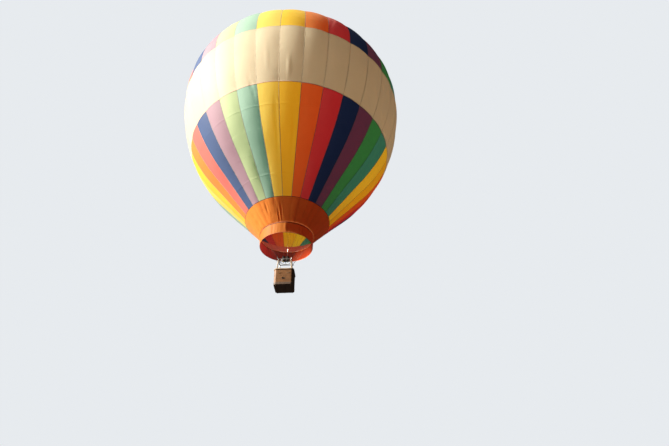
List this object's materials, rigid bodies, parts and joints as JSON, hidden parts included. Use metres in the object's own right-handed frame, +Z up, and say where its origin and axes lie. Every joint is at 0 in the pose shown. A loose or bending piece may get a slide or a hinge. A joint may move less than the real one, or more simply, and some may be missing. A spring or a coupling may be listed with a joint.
{
  "type": "hot air balloon",
  "caption": "Hot air balloon: striped pear-shaped envelope with a plain band, crown vent, throat and skirt, gimballed double burner and wicker basket.",
  "frame": {"origin": "on the envelope's axis at its widest level, where the air carries it", "axes": "+Z up along the envelope's axis, X along the basket's long sides, -Y towards the basket's front side"},
  "size_m": [15.9628, 15.9628, 21.3225],
  "materials": {
    "gore_gold": "translucent coated woven fabric",
    "gore_orange": "translucent coated woven fabric",
    "gore_red": "translucent coated woven fabric",
    "gore_navy": "translucent coated woven fabric",
    "gore_plum": "translucent coated woven fabric",
    "gore_green": "translucent coated woven fabric",
    "gore_teal": "translucent coated woven fabric",
    "gore_yellow": "translucent coated woven fabric",
    "crown_fabric": "gores in the same eight colours as below",
    "cream_fabric": "translucent coated woven fabric",
    "throat_fabric": "heat-proof woven fabric",
    "skirt_fabric": "heat-proof woven fabric",
    "vent_fabric": "translucent coated woven fabric",
    "load_tape": "woven webbing",
    "wire": "stranded steel rope",
    "steel": "brushed tube",
    "burner_steel": "heat-tinted sheet and coil",
    "burner_block": "machined block",
    "wicker": "woven willow and cane",
    "leather": "stitched hide over padding",
    "wood": "varnished plywood and runners",
    "cylinder": "satin sheet"
  },
  "bodies": {
    "airframe": {"gore_01": "gore_gold", "gore_02": "gore_orange", "gore_03": "gore_red", "gore_04": "gore_navy", "gore_05": "gore_plum", "gore_06": "gore_green", "gore_07": "gore_teal", "gore_08": "gore_yellow", "gore_09": "gore_gold", "gore_10": "gore_orange", "gore_11": "gore_red", "gore_12": "gore_navy", "gore_13": "gore_plum", "gore_14": "gore_green", "gore_15": "gore_teal", "gore_16": "gore_yellow", "gore_17": "gore_gold", "gore_18": "gore_orange", "gore_19": "gore_red", "gore_20": "gore_navy", "gore_21": "gore_plum", "gore_22": "gore_green", "gore_23": "gore_teal", "gore_24": "gore_yellow", "gore_25": "gore_gold", "gore_26": "gore_orange", "gore_27": "gore_red", "gore_28": "gore_navy", "gore_29": "gore_plum", "gore_30": "gore_green", "gore_31": "gore_teal", "gore_32": "gore_yellow", "crown_panels": "crown_fabric", "cream_band": "cream_fabric", "throat": "throat_fabric", "skirt": "skirt_fabric", "skirt_hoop": "steel", "crown_tapes": "load_tape", "burner_frame": "steel", "basket_walls": "wicker", "basket_rim": "leather", "basket_floor": "wood", "flying_wires_front_right": "wire", "upright_front_right": "leather", "gas_cylinder_front_right": "cylinder", "flying_wires_back_right": "wire", "upright_back_right": "leather", "gas_cylinder_back_right": "cylinder", "flying_wires_back_left": "wire", "upright_back_left": "leather", "gas_cylinder_back_left": "cylinder", "flying_wires_front_left": "wire", "upright_front_left": "leather", "gas_cylinder_front_left": "cylinder"},
    "vent": {"parachute_vent": "vent_fabric"},
    "gimbal": {"gimbal_ring": "steel"},
    "burner": {"burner_manifold": "burner_block", "burner_can_left": "burner_steel", "burner_can_right": "burner_steel"}
  },
  "joints": [
    {"name": "vent_slide", "type": "slide", "parent": "airframe", "child": "vent", "axis": [0, 0, -1], "range_m": [0, 1], "stiffness_N_per_m": 100, "springref_m": -1},
    {"name": "gimbal_pitch", "type": "hinge", "parent": "airframe", "child": "gimbal", "pos_m": [0, 0, -13.35], "axis": [1, 0, 0], "range_deg": [-15, 15]},
    {"name": "burner_roll", "type": "hinge", "parent": "gimbal", "child": "burner", "pos_m": [0, 0, -13.35], "axis": [0, 1, 0], "range_deg": [-15, 15]}
  ]
}
